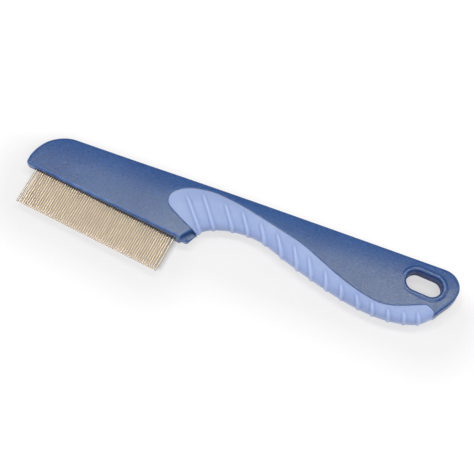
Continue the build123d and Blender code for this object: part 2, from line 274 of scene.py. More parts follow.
def ease(value, low, high):
    """Smooth step from 0 at low to 1 at high."""
    share = np.clip((value - low) / (high - low), 0, 1)
    return share * share * (3 - 2 * share)


def rounding(distance, across, down):
    """Drop of an elliptical edge rounding at a distance from the edge."""
    share = np.clip((across - distance) / across, 0, 1)
    return down * (1 - np.sqrt(np.maximum(0, 1 - share * share)))


def drop_close(points, kept, gap):
    """The points that stay at least gap from kept and from one another."""
    cells = {}

    def cell(point):
        return math.floor(point[0] / gap), math.floor(point[1] / gap)

    def is_free(point):
        column, row = cell(point)
        near = (other for i in (-1, 0, 1) for j in (-1, 0, 1)
                for other in cells.get((column + i, row + j), ()))
        return all((other[0] - point[0]) ** 2 + (other[1] - point[1]) ** 2 >= gap * gap
                   for other in near)

    for point in kept:
        cells.setdefault(cell(point), []).append(point)
    result = []
    for point in points:
        if is_free(point):
            cells.setdefault(cell(point), []).append(point)
            result.append(point)
    return np.array(result).reshape(-1, 2)


def hex_points(loop, step):
    """Points of a hexagonal grid inside the loop."""
    low, high = loop.min(0), loop.max(0)
    rows = []
    for k, y in enumerate(np.arange(low[1], high[1] + step, step * math.sqrt(3) / 2)):
        x = np.arange(low[0] + (step / 2 if k % 2 else 0), high[0] + step, step)
        rows.append(np.stack([x, np.full(len(x), y)], 1))
    grid = np.concatenate(rows)
    return grid[inside(loop, grid)]


def ring_points(loop, part, offsets, share=0.9):
    """Rows of points inward of part of the loop. An offset is one distance or one per point;
    points nearer to the loop than share of their offset are left out."""
    start, inward = loop[part], normals_of(loop)[part]
    rings = []
    for offset in offsets:
        offset = np.broadcast_to(offset, len(start))
        points = start + inward * offset[:, None]
        far = distance_to(loop, points, closed=True) > share * offset
        rings.append(points[far & inside(loop, points)])
    return np.concatenate(rings)


def triangulate(loops, extra=np.zeros((0, 2))):
    """Points, and counter-clockwise triangles inside the first loop and outside the others."""
    points = np.concatenate(list(loops) + [extra])
    edges, first = [], 0
    for loop in loops:
        count = len(loop)
        edges += [(first + i, first + (i + 1) % count) for i in range(count)]
        first += count
    _, _, faces, origins, _, _ = delaunay_2d_cdt([Vector(p) for p in points], edges, [],
                                                 0, 1e-6, True)
    back = [origin[0] for origin in origins]
    triangles = np.array([[back[i] for i in face] for face in faces])
    a, b, c = (points[triangles[:, k]] for k in (0, 1, 2))
    area = (b[:, 0] - a[:, 0]) * (c[:, 1] - a[:, 1]) - (b[:, 1] - a[:, 1]) * (c[:, 0] - a[:, 0])
    triangles[area < 0] = triangles[area < 0][:, ::-1]
    middle = (a + b + c) / 3
    wanted = inside(loops[0], middle)
    for hole in loops[1:]:
        wanted &= ~inside(hole, middle)
    return points, triangles[wanted & (np.abs(area) > 1e-9)]


class Shape:
    """Collects vertices and faces of one closed mesh, in millimetres."""

    def __init__(self):
        self.parts, self.faces, self.count = [], [], 0

    def add(self, xy, z):
        """Adds vertices and returns their ids."""
        self.parts.append(np.column_stack([xy, np.full(len(xy), z)]))
        self.count += len(xy)
        return np.arange(self.count - len(xy), self.count)

    def add_pair(self, xy, z):
        """Adds the same vertices at z and at -z."""
        return self.add(xy, z), self.add(xy, -z)

    def triangles(self, triangles, ids, flip=False):
        step = -1 if flip else 1
        self.faces += [tuple(int(i) for i in row[::step]) for row in ids[triangles]]

    def strip(self, upper, lower, closed=False, skip=()):
        """Quads between two rows of the same length, except the columns in skip."""
        count = len(upper)
        for i in range(count if closed else count - 1):
            if i not in skip:
                j = (i + 1) % count
                self.faces.append((int(upper[i]), int(lower[i]), int(lower[j]), int(upper[j])))

    def build(self, name, sharp_angle, push=None, tones=None):
        """Makes the object. push moves vertices along their normals; tones are attributes."""
        tones = tones or {}
        bm = bmesh.new()
        for label in tones:
            bm.verts.layers.float.new(label)
        verts = [bm.verts.new(point) for point in np.concatenate(self.parts)]
        for label, values in tones.items():
            layer = bm.verts.layers.float[label]
            for vert, value in zip(verts, values):
                vert[layer] = float(value)
        for face in self.faces:
            # rows that share vertices leave repeats in the quads between them
            face = [i for k, i in enumerate(face) if i != face[k - 1]]
            if len(face) > 2:
                bm.faces.new([verts[i] for i in face])
        loose = [vert for vert in bm.verts if not vert.link_faces]
        bmesh.ops.delete(bm, geom=loose, context="VERTS")
        bmesh.ops.recalc_face_normals(bm, faces=bm.faces)
        if any(len(edge.link_faces) != 2 for edge in bm.edges):
            raise ValueError(name + " is not closed")
        if push is not None:
            bm.normal_update()
            moves = [(vert, vert.normal * distance) for vert, distance in zip(verts, push)
                     if distance and vert.is_valid]
            for vert, move in moves:
                vert.co += move
        bmesh.ops.scale(bm, vec=(MM, MM, MM), verts=bm.verts)
        for face in bm.faces:
            face.smooth = True
        mesh = bpy.data.meshes.new(name)
        bm.to_mesh(mesh)
        bm.free()
        mesh.set_sharp_from_angle(angle=math.radians(sharp_angle))
        obj = bpy.data.objects.new(name, mesh)
        bpy.context.scene.collection.objects.link(obj)
        return obj


# ---------------------------------------------------------------------------
# Outlines. The outer one runs counter-clockwise seen from +z.
# ---------------------------------------------------------------------------
def on_row_line(x):
    return np.array([x, ROW[1] + (x - ROW[0]) * math.tan(ROW_ANGLE)])


def row_run(start, end, step):
    """Points along the row between two distances from its middle."""
    count = max(1, int(round((end - start) / step)))
    return ROW + np.linspace(start, end, count + 1)[:, None] * ALONG_ROW


def slot_outline():
    """Hang slot, clockwise, so that the body lies to its left."""
    radius = SLOT_W / 2
    half = SLOT_L / 2 - radius
    angles = np.linspace(math.pi / 2, -math.pi / 2, 19)
    right = np.stack([half + radius * np.cos(angles), radius * np.sin(angles)], 1)
    left = np.stack([-half - radius * np.cos(angles), -radius * np.sin(angles)], 1)
    upper = resample(np.array([[-half, radius], [half, radius]]), 0.5)
    lower = resample(np.array([[half, -radius], [-half, -radius]]), 0.5)
    outline = np.concatenate([run[:-1] for run in (upper, right, lower, left)])
    cos, sin = math.cos(SLOT_ANGLE), math.sin(SLOT_ANGLE)
    return outline @ np.array([[cos, sin], [-sin, cos]])


HEEL_LOW = on_row_line(HEEL_X)
nose_low = on_row_line(NOSE_LOW_X)
heel_arc = corner_arc(ROW, HEEL_LOW, GRIP_LOW[0], CORNER_R, 0.25)
nose_arc = corner_arc(NOSE[-1], nose_low, ROW, CORNER_R, 0.25)
lobe = np.concatenate([spline(LOBE, FINE)[:-1], spline(LOBE_END, FINE)])
under = spline(GRIP_LOW + HANDLE_END, FINE, start=np.array(GRIP_LOW[0]) - HEEL_LOW, end=(-1, 0))
under_heel = np.concatenate([heel_arc[-1:], under])

# The lobe meets the outline at the heel and near the handle end. Only the points near each
# meeting are searched.
HEEL_POINTS, LOBE_TAIL, UNDER_FROM = 41, 200, 2000
lobe_first, under_first, HEEL_MEET = crossing(lobe, under_heel[:HEEL_POINTS])
lobe_tail = len(lobe) - LOBE_TAIL
lobe_last, under_last, END_MEET = crossing(lobe[lobe_tail:], under[UNDER_FROM:])
lobe_last += lobe_tail
under_last += UNDER_FROM

# Seam: upper edge of the grip. Underside: its lower edge. Both run from heel to handle end.
SEAM = resample(np.concatenate([[HEEL_MEET], lobe[lobe_first + 1:lobe_last + 1], [END_MEET]]), 0.45)
UNDERSIDE = resample(np.concatenate(
    [[HEEL_MEET], under_heel[under_first + 1:under_last + 2], [END_MEET]]), 0.40)

before_mouth = [
    resample(np.concatenate([[END_MEET], under[under_last + 1:]]), 0.45),
    resample(np.array([HANDLE_END[-1], NOSE[0]]), 0.9),
    spline(NOSE, 0.45, start=(-1, 0), end=nose_low - np.array(NOSE[-1])),
    resample(np.array([NOSE[-1], nose_arc[0]]), 0.5),
    nose_arc,
    row_run(float((nose_arc[-1] - ROW) @ ALONG_ROW), -MOUTH_HALF, 0.45)]
mouth_run = row_run(-MOUTH_HALF, MOUTH_HALF, 0.55)
after_mouth = [
    row_run(MOUTH_HALF, float((heel_arc[0] - ROW) @ ALONG_ROW), 0.40),
    heel_arc]
OUTER = np.concatenate([run[:-1] for run in before_mouth + [mouth_run] + after_mouth]
                       + [resample(np.array([heel_arc[-1], HEEL_MEET]), 0.35)])
MOUTH_FROM = sum(len(run) - 1 for run in before_mouth)
MOUTH_TO = MOUTH_FROM + len(mouth_run) - 1
SLOT = slot_outline()


# ---------------------------------------------------------------------------
# Web of the body inside the grip
# ---------------------------------------------------------------------------
def core_line():
    """Lower edge of the web."""
    line = UNDERSIDE + normals_of(UNDERSIDE, closed=False) * CORE_IN
    grip_loop = np.concatenate([SEAM[::-1], UNDERSIDE[1:-1]])
    good = (distance_to(SEAM, line) > 0.9) & inside(grip_loop, line)
    first, last = np.where(good)[0][[0, -1]]
    return resample(line[first:last + 1], 1.2)


core = core_line()
WEB_FROM, WEB_TO = nearest(SEAM, core[0]), nearest(SEAM, core[-1])
WEB_LOOP = np.concatenate([SEAM[WEB_FROM:WEB_TO + 1][::-1], core])
web_grid = hex_points(WEB_LOOP, 2.0)
web_grid = web_grid[distance_to(WEB_LOOP, web_grid, closed=True) > 0.8]
WEB_POINTS, WEB_TRIANGLES = triangulate([WEB_LOOP], web_grid)


def add_web(shape, upper, lower, flip):
    """Web faces at z = +-CORE_Z and its lower edge. upper and lower are the ids of the seam
    at those heights; flip turns the faces over for the cavity in the grip."""
    on_seam = WEB_TO + 1 - WEB_FROM
    sides = []
    for z, seam, reverse in ((CORE_Z, upper, flip), (-CORE_Z, lower, not flip)):
        ids = np.concatenate([seam[WEB_FROM:WEB_TO + 1][::-1],
                              shape.add(WEB_POINTS[on_seam:], z)])
        shape.triangles(WEB_TRIANGLES, ids, reverse)
        sides.append(ids[list(range(on_seam - 1, len(WEB_LOOP))) + [0]])
    shape.strip(*(sides[::-1] if flip else sides))


CROWN = cubic(STATIONS[:, 0], np.diff(STATIONS[:, 0]), STATIONS[:, 1:])


def body_height(points):
    """Half thickness of the crowned body, without edge rounding."""
    x, y = points[:, 0], points[:, 1]
    height = -0.004 * np.maximum(0, y - CROWN_Y[0]) ** 2
    # a parabola across the body through the three station heights
    for k, half in enumerate(CROWN(x).T):
        own, second, third = np.roll(CROWN_Y, -k)
        height += half * (y - second) * (y - third) / ((own - second) * (own - third))
    return height


# ---------------------------------------------------------------------------
# Body
# ---------------------------------------------------------------------------
EDGE_RINGS = EDGE * (1 - np.cos(np.radians([15, 30, 46, 62, 78, 90])))
SEAM_RINGS = (0.05, 0.16, 0.5)
SLOT_RINGS = (0.03, 0.12, 0.27, 0.47, 0.70, 0.95, 1.15, 1.35,
              1.55, 1.75, 1.95, 2.15, 2.4, 2.7, 3.0)
OUTER_COUNT = len(OUTER)


def heel_top(base):
    """The face outline over the heel: along the row, round the set-back corner, to the grip."""
    corner, end = (np.array(v) for v in HEEL_BACK)
    arc = corner_arc(ROW, corner, end, BACK_CORNER_R, 0.12)
    path = resample(np.concatenate([base[:1], arc, [end]]), FINE)
    base_run, path_run = run_lengths(base), run_lengths(path)
    base_corner = base_run[nearest(base, HEEL_LOW)]
    path_corner = path_run[nearest(path, corner)]
    wanted = np.interp(base_run, (0, base_corner, base_run[-1]), (0, path_corner, path_run[-1]))
    return at_lengths(wanted, path_run, path)


def face_outline():
    """Outer and seam parts of the outline of the body's faces, set back over the heel."""
    outer = OUTER.copy()
    outer[MOUTH_TO:] = heel_top(OUTER[MOUTH_TO:])
    along = run_lengths(SEAM)
    back = along[nearest(SEAM, HEEL_BACK[1])]
    shifted = along + back * np.clip(1 - along / BACK_BLEND, 0, 1) ** 2
    seam = at_lengths(np.where(along < BACK_BLEND, shifted, along), along, SEAM)
    outer[-1] = seam[0]
    return outer, seam


def body_face(loop):
    """Points and triangles of one face of the body, dense along its rounded edges."""
    slot_normals = normals_of(SLOT)
    ring = np.concatenate(
        [ring_points(loop, slice(0, OUTER_COUNT), EDGE_RINGS),
         ring_points(loop, slice(OUTER_COUNT - 1, len(loop)), SEAM_RINGS)]
        + [SLOT + slot_normals * offset for offset in SLOT_RINGS])
    ring = drop_close(ring[inside(loop, ring)], np.concatenate([loop, SLOT]), 0.02)
    grid = hex_points(loop, 0.85)
    clear = distance_to(loop, grid, closed=True) > 0.35
    clear &= (distance_to(SLOT, grid, closed=True) > 3.2) & ~inside(SLOT, grid)
    grid = drop_close(grid[clear], np.concatenate([ring, loop]), 0.42)
    return triangulate([loop, SLOT], np.concatenate([ring, grid]))


def face_height(points, outer, seam):
    """Half thickness at the points of the face, with its roundings."""
    from_outer = distance_to(outer, points)
    from_seam = distance_to(np.concatenate([seam, OUTER[:1]]), points)
    from_slot = distance_to(SLOT, points, closed=True)
    z = body_height(points)
    z = z + ease(from_slot, 2.35, 1.45) * (SLOT_Z - z)
    # the set-back edge over the heel is crisper than the rest of the outline
    crisp = distance_to(outer[MOUTH_TO + 1:], points) < from_outer + 1e-6
    blend = ease(np.hypot(*(points - OUTER[MOUTH_TO]).T), 0.0, 1.5)
    edge = EDGE + (np.where(crisp, CRISP_EDGE, EDGE) - EDGE) * blend
    drop = np.maximum(rounding(from_outer, edge, edge),
                      rounding(from_seam, SEAM_EDGE, SEAM_EDGE))
    return z - np.maximum(drop, rounding(from_slot, *SLOT_EDGE))


def add_side_wall(shape, face, base, top, bottom, face_z):
    """Wall between the face outlines, open at the mouth and where the web joins.
    Returns the rows of ids on either side of the openings."""
    count = len(base)
    column = np.arange(count)
    on_seam = (column >= OUTER_COUNT - 1) | (column == 0)
    in_mouth = (column >= MOUTH_FROM) & (column <= MOUTH_TO)
    stepped = (column > MOUTH_TO) & (column < OUTER_COUNT - 1)
    inner_z = np.where(in_mouth, MOUTH_Z,
                       np.where(on_seam, np.minimum(CORE_Z, 0.8 * face_z), 0.30))
    uppers, lowers = [top], [bottom]
    for share in (0.66, 0.33, 0.0):
        out = np.where(on_seam, share, np.where(stepped, 1.0, 0.0))[:, None]
        z = np.where(stepped,
                     TONGUE + TONGUE_FILLET + (face_z - TONGUE - TONGUE_FILLET) * share,
                     inner_z + (face_z - inner_z) * share)
        upper, lower = shape.add_pair(base + (face - base) * out, z)
        uppers.append(upper)
        lowers.append(lower)
    upper_rim, lower_rim = upper, lower
    # the tongue below the set-back; all other columns stay on the rims
    for out, lift in TONGUE_ROWS:
        upper, lower = shape.add_pair(base + (face - base) * out, TONGUE + lift)
        uppers.append(np.where(stepped, upper, upper_rim))
        lowers.append(np.where(stepped, lower, lower_rim))
    rows = uppers + lowers[::-1]
    seam_start = OUTER_COUNT - 1
    opened = set(range(MOUTH_FROM, MOUTH_TO)) | \
        set(range(seam_start + WEB_FROM, seam_start + WEB_TO))
    for k in range(len(rows) - 1):
        between_rims = 3 <= k < len(rows) - 4
        shape.strip(rows[k], rows[k + 1], closed=True, skip=opened if between_rims else ())
    return upper_rim, lower_rim


def add_slot_wall(shape, top, bottom, face_z):
    rows = [top] + [shape.add(SLOT, face_z * (1 - 2 * down)) for down in (0.25, 0.5, 0.75)]
    rows.append(bottom)
    for upper, lower in zip(rows, rows[1:]):
        shape.strip(upper, lower, closed=True)


def add_mouth(shape, upper_rim, lower_rim):
    """Mouth with the strip pocket and two guard pin bores. Its loops are given as distance
    along the row and z."""
    def band(along, half):
        low = np.column_stack([along, np.full(len(along), -half)])
        return np.concatenate([low, (low * (1, -1))[::-1]])

    def add_at(loop, depth):
        return shape.add(ROW + loop[:, :1] * ALONG_ROW + INTO_HEAD * depth, loop[:, 1])

    columns = np.arange(MOUTH_FROM, MOUTH_TO + 1)
    count = len(columns)
    along = (OUTER[columns] + INTO_HEAD * MOUTH_DEPTH - ROW) @ ALONG_ROW
    angles = np.linspace(0, 2 * math.pi, BORE_SIDES + 1)[:-1]
    loops = [band(along, MOUTH_Z), band(np.linspace(-STRIP_HALF, STRIP_HALF, 41), STRIP_Z)]
    loops += [np.column_stack([at + BORE_R * np.cos(angles), BORE_R * np.sin(angles)])
              for at in (-GUARD_AT, GUARD_AT)]
    points, triangles = triangulate(loops)
    floor_ids = add_at(points, MOUTH_DEPTH)
    shape.triangles(triangles, floor_ids)

    upper, lower = upper_rim[columns], lower_rim[columns]
    lower_in, upper_in = floor_ids[:count], floor_ids[count:2 * count][::-1]
    shape.strip(upper, upper_in)
    shape.strip(lower_in, lower)
    for end in (0, -1):
        shape.faces.append(tuple(int(row[end]) for row in (upper, upper_in, lower_in, lower)))

    first = 2 * count
    for loop, depth in zip(loops[1:], (MOUTH_DEPTH + STRIP_DEPTH, BORE_DEPTH, BORE_DEPTH)):
        bottom = add_at(loop, depth)
        shape.strip(floor_ids[first:first + len(loop)], bottom, closed=True)
        shape.triangles(triangulate([loop])[1], bottom)
        first += len(loop)


def make_body():
    outer, seam = face_outline()
    face = np.concatenate([outer, seam[1:-1]])
    base = np.concatenate([OUTER, SEAM[1:-1]])
    points, triangles = body_face(face)
    z = face_height(points, outer, seam)
    shape = Shape()
    top, bottom = shape.add_pair(points, z)
    shape.triangles(triangles, top)
    shape.triangles(triangles, bottom, flip=True)
    count = len(face)
    upper_rim, lower_rim = add_side_wall(shape, face, base, top[:count], bottom[:count],
                                         z[:count])
    slot = slice(count, count + len(SLOT))
    add_slot_wall(shape, top[slot], bottom[slot], z[slot])
    seam_columns = np.concatenate([np.arange(OUTER_COUNT - 1, count), [0]])
    add_web(shape, upper_rim[seam_columns], lower_rim[seam_columns], flip=False)
    add_mouth(shape, upper_rim, lower_rim)
    return shape.build("handle_shell", sharp_angle=42.0)


# ---------------------------------------------------------------------------
# Grip
# ---------------------------------------------------------------------------
GRIP_SEAM_RINGS = (0.03, 0.12, 0.26, 0.42, 0.7)
ROLL_RINGS = 1 - np.cos(np.radians([10, 20, 30, 40]))    # shares of the roll's width
GRIP_PROUD, GRIP_SWELL, GRIP_MAX_Z = 0.30, 0.12, 4.36    # over the body at and past the seam
GRIP_SEAM_EDGE = 0.42


def roll_width(points):
    """How far the rolled lower side reaches across the grip."""
    return np.interp(points[:, 0], (-60, -30, 0), (5.5, 4.2, 3.2))


def rib_field(points):
    """0 between the ribs, 1 on a rib top, below 0 in the creases at its feet."""
    field = np.zeros(len(points))
    for upper, lower in np.array(RIBS):
        length = np.hypot(*(lower - upper))
        down = (lower - upper) / length
        along = (points - upper) @ down
        across = (points - upper) @ np.array([-down[1], down[0]])
        top = ease(across, *RIB_RISE) * (1 - ease(across, *RIB_FALL))
        crease = sum(depth * np.exp(-((across - place) / CREASE_WIDTH) ** 2)
                     for place, depth in CREASES)
        fade = ease(along, -2.2, 0.30 * length) * (1 - ease(along, length + 6, length + 9))
        field += (top - CREASE_DEPTH * crease) * fade
    return field


def make_grip():
    seam_count = len(SEAM)
    along = run_lengths(UNDERSIDE)

    def end_fade(length):
        return ease(along, 0, length) * ease(along[-1] - along, 0, length)

    inset = BETWEEN * end_fade(2.2)
    lower = UNDERSIDE + normals_of(UNDERSIDE, closed=False) * inset[:, None]
    lower[0], lower[-1] = HEEL_MEET, END_MEET
    loop = np.concatenate([SEAM[::-1], lower[1:-1]])
    count = len(loop)

    # face points, dense at the seam and on the rolled lower side
    low_part = slice(seam_count - 1, count)
    width = roll_width(loop[low_part])
    ring = np.concatenate([
        ring_points(loop, slice(0, seam_count), GRIP_SEAM_RINGS),
        ring_points(loop, low_part, [width * share for share in ROLL_RINGS], share=0.93)])
    ring = drop_close(ring, loop, 0.025)
    grid = hex_points(loop, 0.36)
    grid = grid[distance_to(loop, grid, closed=True) > 0.2]
    grid = drop_close(grid, np.concatenate([ring, loop]), 0.22)
    points, triangles = triangulate([loop], np.concatenate([ring, grid]))

    from_seam = distance_to(SEAM, points)
    from_low = distance_to(lower, points)
    height = body_height(points) + GRIP_PROUD + GRIP_SWELL * ease(from_seam, 0.3, 3.0)
    height = np.minimum(height, GRIP_MAX_Z)
    side_z = np.interp(points[:, 0], (-95, -60, 0), (0.9, 0.9, 0.8))
    z = height - np.maximum(rounding(from_seam, GRIP_SEAM_EDGE, GRIP_SEAM_EDGE),
                            rounding(from_low, roll_width(points), height - side_z))
    shape = Shape()
    top, bottom = shape.add_pair(points, z)
    shape.triangles(triangles, top)
    shape.triangles(triangles, bottom, flip=True)

    # side wall, open where the web enters
    off_seam = (np.arange(count) >= seam_count).astype(float)
    face_z = z[:count]
    inner_z = np.where(off_seam > 0, face_z * 0.35, np.minimum(CORE_Z, 0.8 * face_z))
    rows = [top[:count]]
    for sign, share in ((1, 0.5), (1, 0.0), (-1, 0.0), (-1, 0.5)):
        rows.append(shape.add(loop, sign * (inner_z + (face_z - inner_z) * share)))
    rows.append(bottom[:count])
    opened = set(range(seam_count - 1 - WEB_TO, seam_count - 1 - WEB_FROM))
    for k in range(len(rows) - 1):
        shape.strip(rows[k], rows[k + 1], closed=True, skip=opened if k == 2 else ())
    add_web(shape, rows[2][:seam_count][::-1], rows[3][:seam_count][::-1], flip=True)

    # ribs, as a push along the normals
    def per_vertex(on_face, on_wall):
        rest = np.zeros(shape.count - 2 * len(points) - 4 * count)
        return np.concatenate([on_face] * 2 + [on_wall] * 4 + [rest])

    rise = rib_field(points) * ease(from_seam, 0.15, 1.4)
    wall_rise = rib_field(loop) * off_seam
    rib_height = RIB_LOW + (RIB_HIGH - RIB_LOW) * ease(from_low, 0.2, 2.6)
    wall_fade = np.concatenate([np.zeros(seam_count), end_fade(1.4)[1:-1]])
    # the tones carry the rib field and the rolled lower side to the material, which paints shade
    # and highlights from them
    return shape.build(
        "soft_grip_skin", sharp_angle=48.0,
        push=per_vertex(rise * rib_height, RIB_SIDE * wall_rise * wall_fade),
        tones={"rib_rise": per_vertex(rise, wall_rise),
               "low_side_shade": per_vertex(1 - ease(from_low, 0.4, 5.0), off_seam)})


body = make_body()
grip = make_grip()
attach(body, "root")
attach(grip, "root")
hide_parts("handle_body")
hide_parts("soft_grip")


# ---------------------------------------------------------------------------
# Materials
# ---------------------------------------------------------------------------
class Mat:
    """A node material under construction, in millimetre object coordinates."""

    def __init__(self, name):
        self.mat = bpy.data.materials.new(name)
        self.mat.use_nodes = True
        self.tree = self.mat.node_tree
        self.tree.nodes.clear()
        output = self.node("OutputMaterial")
        self.bsdf = self.node("BsdfPrincipled")
        self.link(self.bsdf.outputs[0], output.inputs[0])
        coords = self.node("TexCoord")
        scale = self.node("VectorMath")
        scale.operation = "SCALE"
        scale.inputs["Scale"].default_value = 1 / MM
        self.link(coords.outputs["Object"], scale.inputs[0])
        self.coords = scale.outputs[0]

    def node(self, kind):
        return self.tree.nodes.new("ShaderNode" + kind)

    def link(self, output, socket):
        self.tree.links.new(output, socket)

    def put(self, socket, value):
        if isinstance(value, bpy.types.NodeSocket):
            self.link(value, socket)
        else:
            socket.default_value = value

    def mapped(self, kind="POINT", place=(0, 0, 0), turn=0.0, scale=(1, 1, 1)):
        mapping = self.node("Mapping")
        mapping.vector_type = kind
        self.link(self.coords, mapping.inputs["Vector"])
        mapping.inputs["Location"].default_value = place
        mapping.inputs["Rotation"].default_value = (0, 0, turn)
        mapping.inputs["Scale"].default_value = scale
        return mapping.outputs[0]

    def xyz(self, vector):
        separate = self.node("SeparateXYZ")
        self.link(vector, separate.inputs[0])
        return separate.outputs

    def noise(self, scale, detail=2.0, rough=0.5, seed=0.0, stretch=None, turn=0.0):
        """Noise; seed shifts it to another place."""
        vector = self.coords
        if stretch is not None or seed:
            vector = self.mapped(place=(seed, seed * 1.7, seed * 0.6), turn=turn,
                                 scale=stretch or (1, 1, 1))
        noise = self.node("TexNoise")
        noise.inputs["Scale"].default_value = scale
        noise.inputs["Detail"].default_value = detail
        noise.inputs["Roughness"].default_value = rough
        self.link(vector, noise.inputs["Vector"])
        return noise.outputs["Fac"]

    def math(self, operation, a, b=0.0, clamp=False):
        node = self.node("Math")
        node.operation = operation
        node.use_clamp = clamp
        for socket, value in zip(node.inputs, (a, b, 0.0)):
            self.put(socket, value)
        return node.outputs[0]

    def plus(self, a, b):
        return self.math("ADD", a, b)

    def minus(self, a, b):
        return self.math("SUBTRACT", a, b)

    def times(self, a, b):
        return self.math("MULTIPLY", a, b)

    def span(self, value, within, to=(0.0, 1.0)):
        """Maps the range within onto the range to."""
        node = self.node("MapRange")
        self.put(node.inputs["Value"], value)
        for key, number in zip(("From Min", "From Max", "To Min", "To Max"), (*within, *to)):
            node.inputs[key].default_value = number
        return node.outputs[0]

    def patches(self, within, to=(0.0, 1.0), **noise):
        return self.span(self.noise(**noise), within, to)

    def mix(self, share, first, second, mode="MIX"):
        node = self.node("Mix")
        node.data_type = "RGBA"
        node.blend_type = mode
        for index, value in ((0, share), (6, first), (7, second)):
            self.put(node.inputs[index], value)
        return node.outputs[2]

    def edge(self, radius, gain):
        """Up to 1 on edges and corners sharper than radius, 0 elsewhere."""
        bevel = self.node("Bevel")
        bevel.samples = 4
        bevel.inputs["Radius"].default_value = radius * MM
        geometry = self.node("NewGeometry")
        dot = self.node("VectorMath")
        dot.operation = "DOT_PRODUCT"
        self.link(bevel.outputs[0], dot.inputs[0])
        self.link(geometry.outputs["Normal"], dot.inputs[1])
        return self.math("MULTIPLY", self.minus(1.0, dot.outputs["Value"]), gain, clamp=True)

    def painted(self, label):
        attribute = self.node("Attribute")
        attribute.attribute_name = label
        return attribute.outputs["Fac"]

    def length(self, x, y):
        return self.math("SQRT", self.plus(self.times(x, x), self.times(y, y)))

    def from_bar(self, x, y, half):
        """Distance from the stretch of the x axis that reaches half to either side of 0."""
        past = self.math("MAXIMUM", self.minus(self.math("ABSOLUTE", x), half), 0.0)
        return self.length(past, y)

    def spot(self, x, y, radius):
        """1 near the point (x, y), fading to 0 at radius, through the thickness."""
        here = self.xyz(self.coords)
        away = self.length(self.minus(here[0], x), self.minus(here[1], y))
        fade = self.span(away, within=(radius, radius * 0.45))
        return self.math("MINIMUM", self.math("MAXIMUM", fade, 0.0), 1.0)

    def above_pins(self, low, high):
        """1 on a band low to high above the pin roots, fading out at the heel."""
        here = self.xyz(self.coords)
        up = self.plus(self.times(here[0], float(INTO_HEAD[0])),
                       self.times(here[1], float(INTO_HEAD[1])))
        up = self.minus(up, float(ROW @ INTO_HEAD))
        band = self.times(self.span(up, within=(low - 0.3, low)),
                          self.span(up, within=(high + 0.5, high)))
        return self.times(band, self.span(here[0], within=(-96.0, -99.0)))

    def slot_wall(self):
        """1 on the wall of the hang slot, fading out over its rounded edge."""
        here = self.xyz(self.mapped(turn=-SLOT_ANGLE))
        return self.span(self.from_bar(here[0], here[1], half=3.3), within=(4.75, 4.15))

    def bump(self, height, distance, strength=1.0, after=None):
        bump = self.node("Bump")
        bump.inputs["Distance"].default_value = distance * MM
        bump.inputs["Strength"].default_value = strength
        self.link(height, bump.inputs["Height"])
        if after is not None:
            self.link(after, bump.inputs["Normal"])
        return bump.outputs[0]

    def set(self, **inputs):
        for key, value in inputs.items():
            self.put(self.bsdf.inputs[key.replace("_", " ")], value)
        return self.mat


def srgb(*channels):
    """Linear colour from 0-255 sRGB."""
    def linear(c):
        c /= 255
        return c / 12.92 if c <= 0.04045 else ((c + 0.055) / 1.055) ** 2.4
    return (*(linear(c) for c in channels), 1.0)


def darker(colour, factor):
    return tuple(c * factor for c in colour[:3]) + (1.0,)


def body_plastic():
    """Grained blue plastic, lighter in patches along its edges, with painted shade on the hang
    slot's wall and painted highlights over the pin roots and at the heel corner.
    """
    m = Mat("body_plastic_looks")
    grain = m.noise(scale=1.05, detail=4.0, rough=0.74)
    fine = m.noise(scale=4.5, seed=11.0)
    drift = m.noise(scale=0.035, seed=3.0)
    base = m.mix(m.span(drift, within=(0.35, 0.65)), srgb(30, 66, 122), srgb(37, 73, 128))
    shade = m.mix(m.span(grain, within=(0.30, 0.72)),
                  first=(0.62, 0.65, 0.69, 1), second=(1.34, 1.30, 1.25, 1))
    colour = m.mix(1.0, base, shade, "MULTIPLY")
    slot_wall = m.slot_wall()
    # painted shade: the hang slot's wall is darkened as a recess in shadow; further down its
    # specular is lowered too
    colour = m.mix(m.times(slot_wall, 0.75), colour, srgb(20, 50, 112))
    # edges lighter in patches; a painted highlight on the rounded edge over the pin roots, and
    # painted highlights at the heel corner
    edge_lightening = m.times(m.edge(radius=0.5, gain=2.2),
                   m.patches(scale=0.6, detail=3.0, rough=0.6, seed=5.0,
                             within=(0.40, 0.75), to=(0.10, 0.60)))
    colour = m.mix(edge_lightening, colour, srgb(104, 132, 178))
    # painted highlight: the rounded edge over the pin roots is lighter, in patches
    pin_edge_highlight = m.times(m.above_pins(low=-0.2, high=0.75),
                  m.patches(scale=0.28, detail=3.0, rough=0.6, seed=15.0,
                            within=(0.35, 0.65), to=(0.15, 0.75)))
    colour = m.mix(pin_edge_highlight, colour, srgb(82, 112, 164))
    # painted highlights: bright specks on the edges at the heel corner
    corner = m.math("MAXIMUM", m.spot(x=-95.7, y=-17.0, radius=1.5),
                    m.times(m.spot(x=-98.6, y=-15.4, radius=2.2), 0.6))
    corner_highlight = m.times(corner, m.times(m.edge(radius=0.35, gain=6.0),
                                   m.patches(scale=0.9, seed=21.0,
                                             within=(0.35, 0.6), to=(0.35, 1.0))))
    colour = m.mix(corner_highlight, colour, srgb(196, 214, 236))
    rough = m.plus(m.patches(scale=0.9, detail=4.0, rough=0.6, seed=8.0,
                             within=(0.3, 0.7), to=(0.26, 0.33)),
                   m.span(fine, within=(0.3, 0.7), to=(-0.03, 0.05)))
    normal = m.bump(grain, distance=0.07)
    normal = m.bump(fine, distance=0.02, strength=0.6, after=normal)
    return m.set(Base_Color=colour, Roughness=rough, Normal=normal, IOR=1.46,
                 Specular_IOR_Level=m.span(slot_wall, within=(0.0, 1.0), to=(0.5, 0.22)),
                 Specular_Tint=(1.0, 0.96, 0.60, 1.0), Coat_Weight=0.02, Coat_Roughness=0.35)


